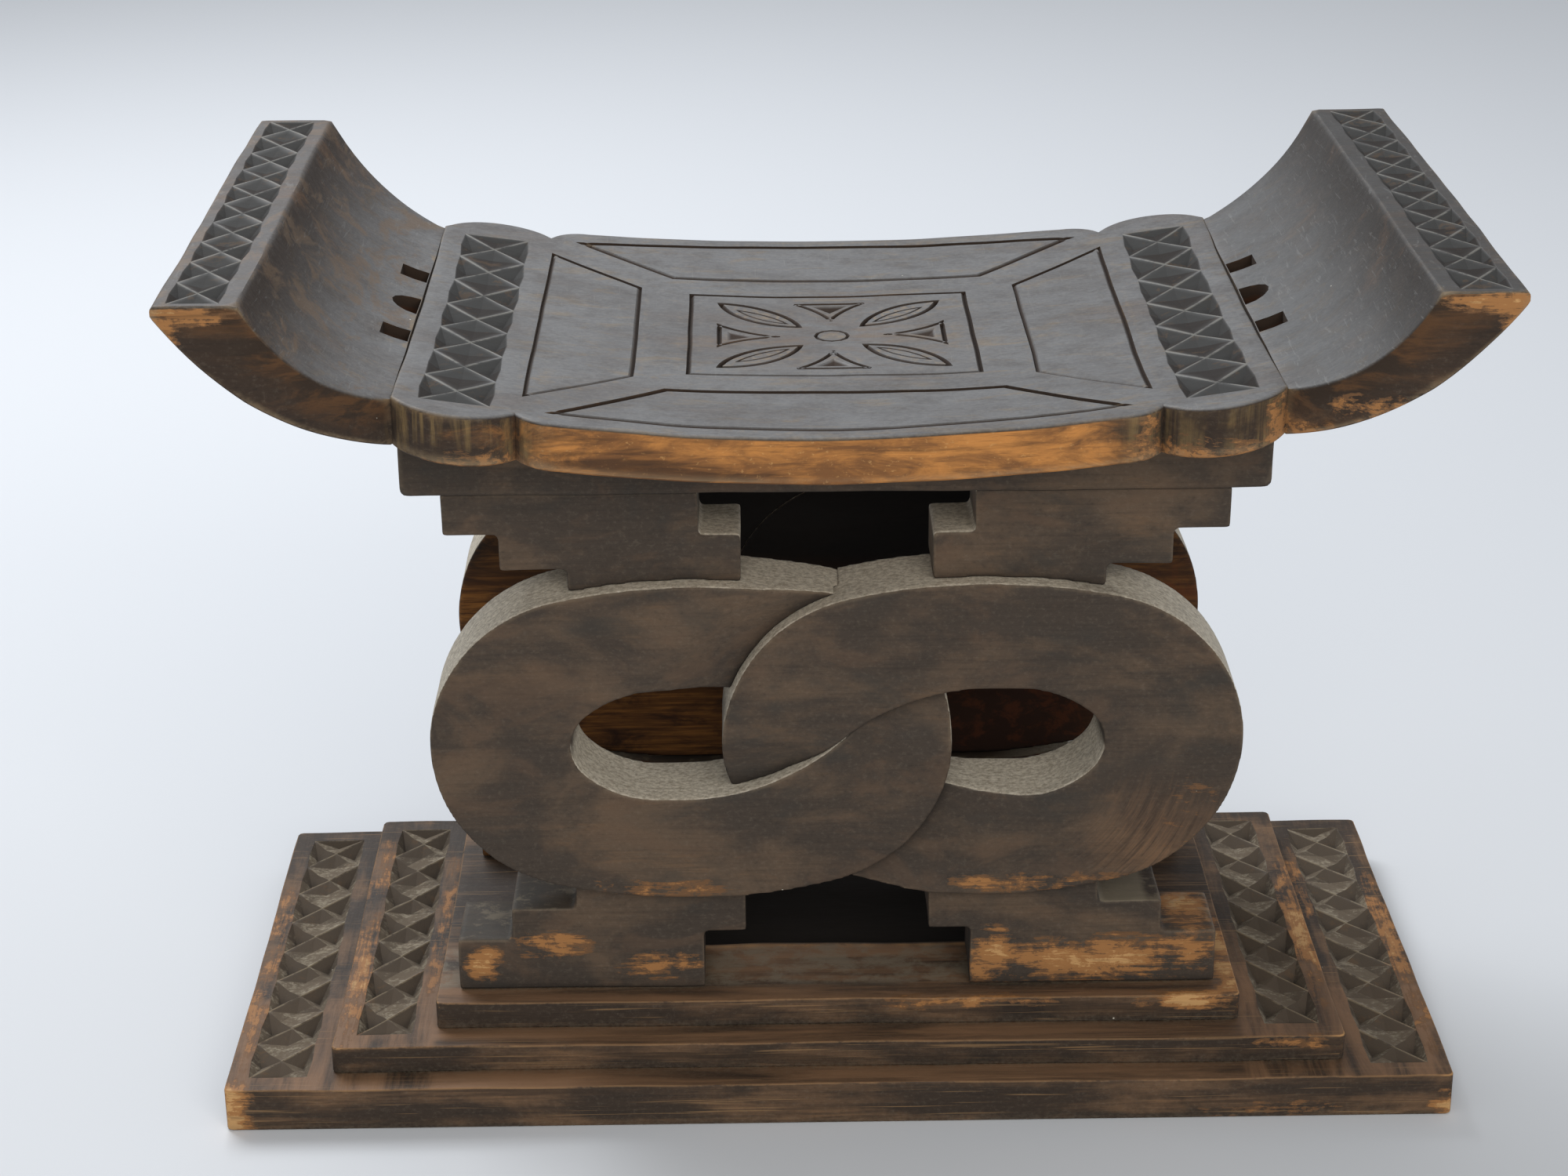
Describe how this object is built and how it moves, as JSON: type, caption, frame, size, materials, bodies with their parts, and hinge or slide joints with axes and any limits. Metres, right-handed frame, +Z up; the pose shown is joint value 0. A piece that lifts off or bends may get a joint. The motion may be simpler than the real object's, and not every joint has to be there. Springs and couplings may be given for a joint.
{
  "type": "ashanti stool",
  "caption": "Ashanti stool with a dished crescent seat, woven ring screens and a stepped, chip-carved base, for one person to sit on.",
  "frame": {"origin": "middle of the footprint, on the floor", "axes": "+X along the seat, +Y to the back, +Z up"},
  "size_m": [0.569, 0.304, 0.4071],
  "materials": {
    "seat_wood": "blackened and hand-polished, worn to bare orange wood at the edges",
    "screen_wood": "blackened, matt, with brown wear on the faces",
    "base_wood": "blackened, rubbed brown on treads and corners"
  },
  "bodies": {
    "root": {"seat_panel": "seat_wood", "left_wing": "seat_wood", "right_wing": "seat_wood", "seat_bearer": "screen_wood", "front_left_upper_block": "screen_wood", "front_left_ring": "screen_wood", "front_left_lower_block": "screen_wood", "front_right_upper_block": "screen_wood", "front_right_ring": "screen_wood", "front_right_lower_block": "screen_wood", "back_left_upper_block": "screen_wood", "back_left_ring": "screen_wood", "back_left_lower_block": "screen_wood", "back_right_upper_block": "screen_wood", "back_right_ring": "screen_wood", "back_right_lower_block": "screen_wood", "base_top_step": "base_wood", "base_middle_step": "base_wood", "base_bottom_board": "base_wood"}
  },
  "joints": []
}
